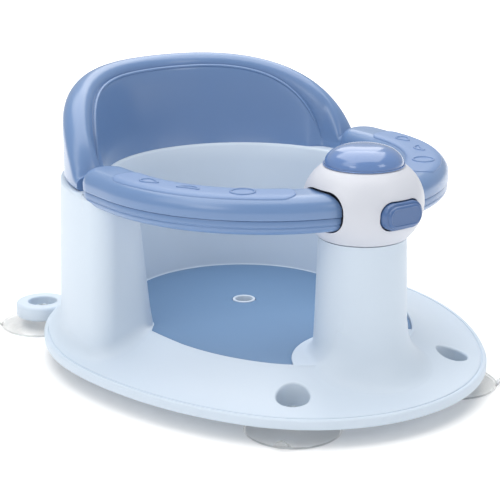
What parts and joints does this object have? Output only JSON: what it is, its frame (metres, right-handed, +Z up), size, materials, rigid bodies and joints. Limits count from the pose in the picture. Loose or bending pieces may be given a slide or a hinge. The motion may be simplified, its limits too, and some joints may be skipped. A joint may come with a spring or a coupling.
{
  "type": "baby bath seat",
  "caption": "Bath seat on suction cups: oval base with a round wall, high back, floor mat and two guard arms that swing out from a round front head with a release button.",
  "frame": {"origin": "on the floor, below the centre of the arms' ring, which is the middle of the seat's length and width", "axes": "+Z up; -Y to the front, where the head and its button are; +X to the right-hand arm when seen from the front"},
  "size_m": [0.315, 0.3801, 0.21],
  "materials": {
    "pale_shell": "satin, fine moulded grain",
    "mat": "soft matte rubber",
    "blue_shell": "satin",
    "arm_pad": "soft satin rubber",
    "head_white": "satin",
    "dome_blue": "polished",
    "button_blue": "semi-gloss",
    "clear_cup": "clear soft vinyl",
    "steel": "bright"
  },
  "bodies": {
    "base": {"base_shell": "pale_shell", "seat_mat": "mat", "backrest": "blue_shell", "backrest_screws": "steel", "head_housing": "head_white", "head_chassis": "head_white", "head_cap": "dome_blue", "head_screws": "steel", "button_spring": "steel", "cup_front_left": "clear_cup", "cup_front_right": "clear_cup", "cup_rear_left": "clear_cup", "cup_rear_right": "clear_cup", "hinge_pin_left": "steel", "hinge_pin_right": "steel"},
    "release_button": {"release_button": "button_blue", "latch_slide": "head_white"},
    "left_arm": {"arm_lower_left": "blue_shell", "arm_upper_left": "blue_shell", "arm_pad_left": "arm_pad", "arm_screws_left": "steel"},
    "right_arm": {"arm_lower_right": "blue_shell", "arm_upper_right": "blue_shell", "arm_pad_right": "arm_pad", "arm_screws_right": "steel"}
  },
  "joints": [
    {"name": "button_press", "type": "slide", "parent": "base", "child": "release_button", "axis": [0, 1, 0], "range_m": [0, 0.0045], "stiffness_N_per_m": 900, "springref_m": -0.002, "deforming": ["button_spring"]},
    {"name": "left_arm_swing", "type": "hinge", "parent": "base", "child": "left_arm", "pos_m": [-0.118, 0.025, 0.131], "axis": [0, 0, -1], "range_deg": [0, 45]},
    {"name": "right_arm_swing", "type": "hinge", "parent": "base", "child": "right_arm", "pos_m": [0.118, 0.025, 0.131], "axis": [0, 0, 1], "range_deg": [0, 45]}
  ]
}
